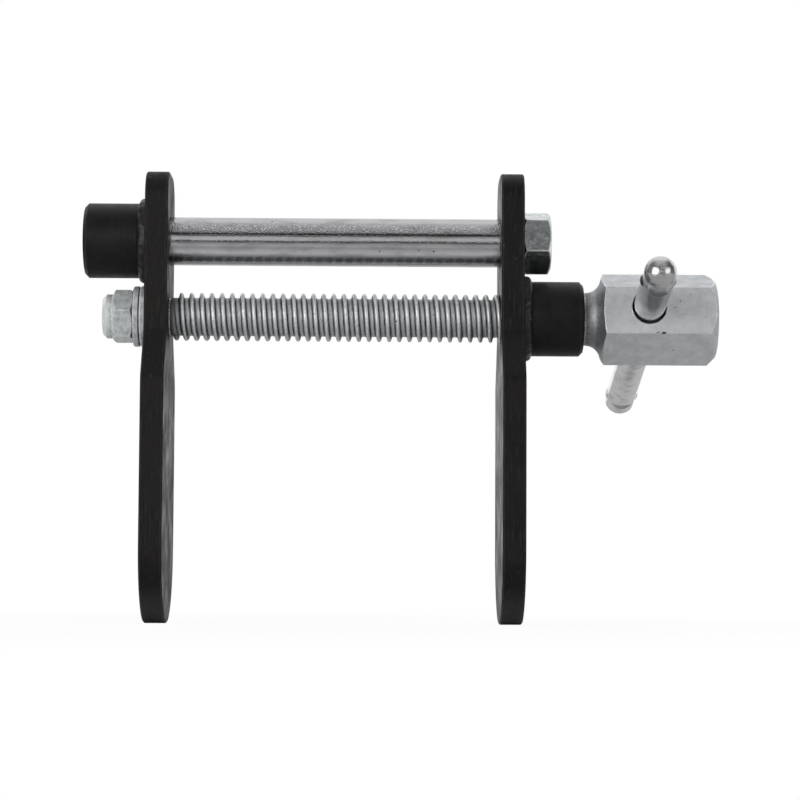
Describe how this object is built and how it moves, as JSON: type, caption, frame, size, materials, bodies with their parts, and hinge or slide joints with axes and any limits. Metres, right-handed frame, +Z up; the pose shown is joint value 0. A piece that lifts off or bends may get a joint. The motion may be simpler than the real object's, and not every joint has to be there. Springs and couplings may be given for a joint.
{
  "type": "brake caliper piston tool",
  "caption": "Screw spreader for pressing brake caliper pistons back: two steel paddles on a guide rod and a lead screw turned by a sliding bar.",
  "frame": {"origin": "centre of the fixed paddle's flat inner pad face, on the tool's middle plane", "axes": "+X from the fixed paddle along the screw to its turning head, +Z up from the pads to the guide rod, +Y from the front to the back"},
  "size_m": [0.2485, 0.1658, 0.177],
  "materials": {
    "blackened_plate": "satin black oxide over drawn flat bar",
    "blackened_bush": "satin black oxide over turned steel",
    "weld_metal": "blackened fillet weld",
    "bright_zinc_bar": "bright zinc plate on drawn bar",
    "bright_zinc_fastener": "bright zinc plate",
    "satin_zinc_screw": "satin zinc plate",
    "nylon": "natural nylon",
    "polished_bar": "polished bright bar"
  },
  "bodies": {
    "fixed_jaw": {"fixed_plate": "blackened_plate", "guide_bush": "blackened_bush", "guide_bush_weld": "weld_metal", "inner_washer": "bright_zinc_fastener"},
    "sliding_jaw": {"sliding_plate": "blackened_plate", "threaded_bush": "blackened_bush", "threaded_bush_weld": "weld_metal", "guide_rod": "bright_zinc_bar", "rod_nut": "bright_zinc_fastener"},
    "screw": {"lead_screw": "satin_zinc_screw", "outer_washer": "bright_zinc_fastener", "lock_nut": "bright_zinc_fastener", "lock_nut_insert": "nylon"},
    "handle": {"slide_bar": "polished_bar"}
  },
  "joints": [
    {"name": "screw_turn", "type": "hinge", "parent": "fixed_jaw", "child": "screw", "pos_m": [0, 0, 0.075], "axis": [1, 0, 0], "range_deg": [0, 11610]},
    {"name": "jaw_travel", "type": "slide", "parent": "fixed_jaw", "child": "sliding_jaw", "axis": [-1, 0, 0], "range_m": [0, 0.1291]},
    {"name": "bar_slide", "type": "slide", "parent": "screw", "child": "handle", "axis": [0, -0.9728, 0.2317], "range_m": [-0.028, 0.079]}
  ],
  "couplings": [
    {"joint": "jaw_travel", "follows": "screw_turn", "m_per_rad": 0.00063662}
  ]
}
